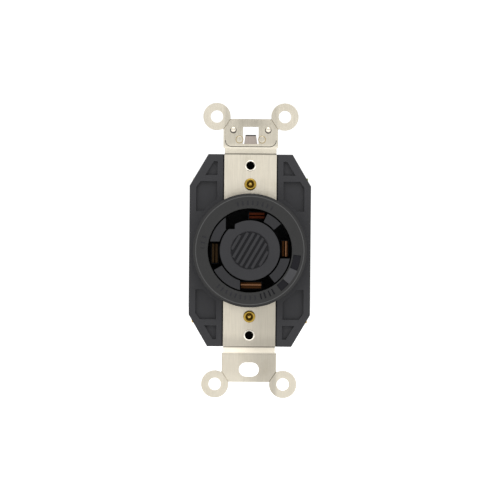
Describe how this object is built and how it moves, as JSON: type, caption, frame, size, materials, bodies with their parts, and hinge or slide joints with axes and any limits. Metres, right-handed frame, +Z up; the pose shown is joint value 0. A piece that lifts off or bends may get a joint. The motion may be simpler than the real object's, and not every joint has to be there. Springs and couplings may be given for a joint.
{
  "type": "locking receptacle",
  "caption": "Flush locking receptacle: round face with curved blade slots in a black body on a plated steel mounting strap, with side clamp terminals.",
  "frame": {"origin": "midway between the four plaster ears' holes, in the middle of the ears' thickness", "axes": "+Z up along the strap, +X to the right seen from the front, the face looks along -Y"},
  "size_m": [0.0432, 0.0379, 0.1046],
  "materials": {
    "face_moulding": "moulded nylon, satin",
    "post_moulding": "moulded nylon, satin",
    "carrier_moulding": "moulded nylon, satin",
    "body_moulding": "moulded nylon, satin",
    "cover_moulding": "moulded nylon, satin",
    "nickel_strap": "nickel plate on rolled steel",
    "clip_metal": "tinned bronze",
    "rivet_brass": "turned brass",
    "brass": "stamped brass",
    "plated_screw": "zinc plate",
    "contact_copper": "stamped copper alloy",
    "spring_steel": "blued spring steel",
    "green_metal": "green-dyed brass",
    "silver_metal": "nickel plate"
  },
  "bodies": {
    "root": {"face_ring": "face_moulding", "centre_post": "post_moulding", "contact_carrier": "carrier_moulding", "body": "body_moulding", "back_cover": "cover_moulding", "strap": "nickel_strap", "grounding_clip": "clip_metal", "ground_jumper": "brass", "rivet_top": "rivet_brass", "rivet_bottom": "rivet_brass", "assembly_screws": "plated_screw", "ground_contact": "contact_copper", "line_x_contact": "contact_copper", "line_y_contact": "contact_copper", "neutral_contact": "contact_copper", "ground_spring": "spring_steel", "line_x_spring": "spring_steel", "line_y_spring": "spring_steel", "neutral_spring": "spring_steel"},
    "ground_clamp": {"ground_clamp": "green_metal"},
    "ground_screw": {"ground_screw": "green_metal"},
    "line_x_clamp": {"line_x_clamp": "brass"},
    "line_x_screw": {"line_x_screw": "brass"},
    "line_y_clamp": {"line_y_clamp": "brass"},
    "line_y_screw": {"line_y_screw": "brass"},
    "neutral_clamp": {"neutral_clamp": "silver_metal"},
    "neutral_screw": {"neutral_screw": "silver_metal"}
  },
  "joints": [
    {"name": "ground_clamp_slide", "type": "slide", "parent": "root", "child": "ground_clamp", "axis": [1, 0, 0], "range_m": [-0.00317, 0.0004]},
    {"name": "ground_screw_turn", "type": "hinge", "parent": "ground_clamp", "child": "ground_screw", "pos_m": [0.0182, 0.01045, 0.0225], "axis": [1, 0, 0], "range_deg": [-1440, 180]},
    {"name": "line_x_clamp_slide", "type": "slide", "parent": "root", "child": "line_x_clamp", "axis": [1, 0, 0], "range_m": [-0.00317, 0.0004]},
    {"name": "line_x_screw_turn", "type": "hinge", "parent": "line_x_clamp", "child": "line_x_screw", "pos_m": [0.0182, 0.01045, -0.0225], "axis": [1, 0, 0], "range_deg": [-1440, 180]},
    {"name": "line_y_clamp_slide", "type": "slide", "parent": "root", "child": "line_y_clamp", "axis": [-1, 0, 0], "range_m": [-0.00317, 0.0004]},
    {"name": "line_y_screw_turn", "type": "hinge", "parent": "line_y_clamp", "child": "line_y_screw", "pos_m": [-0.0182, 0.01045, -0.0225], "axis": [-1, 0, 0], "range_deg": [-1440, 180]},
    {"name": "neutral_clamp_slide", "type": "slide", "parent": "root", "child": "neutral_clamp", "axis": [-1, 0, 0], "range_m": [-0.00317, 0.0004]},
    {"name": "neutral_screw_turn", "type": "hinge", "parent": "neutral_clamp", "child": "neutral_screw", "pos_m": [-0.0182, 0.01045, 0.0225], "axis": [-1, 0, 0], "range_deg": [-1440, 180]}
  ],
  "couplings": [
    {"joint": "ground_screw_turn", "follows": "ground_clamp_slide", "rad_per_m": 7915.8},
    {"joint": "line_x_screw_turn", "follows": "line_x_clamp_slide", "rad_per_m": 7915.8},
    {"joint": "line_y_screw_turn", "follows": "line_y_clamp_slide", "rad_per_m": 7915.8},
    {"joint": "neutral_screw_turn", "follows": "neutral_clamp_slide", "rad_per_m": 7915.8}
  ]
}
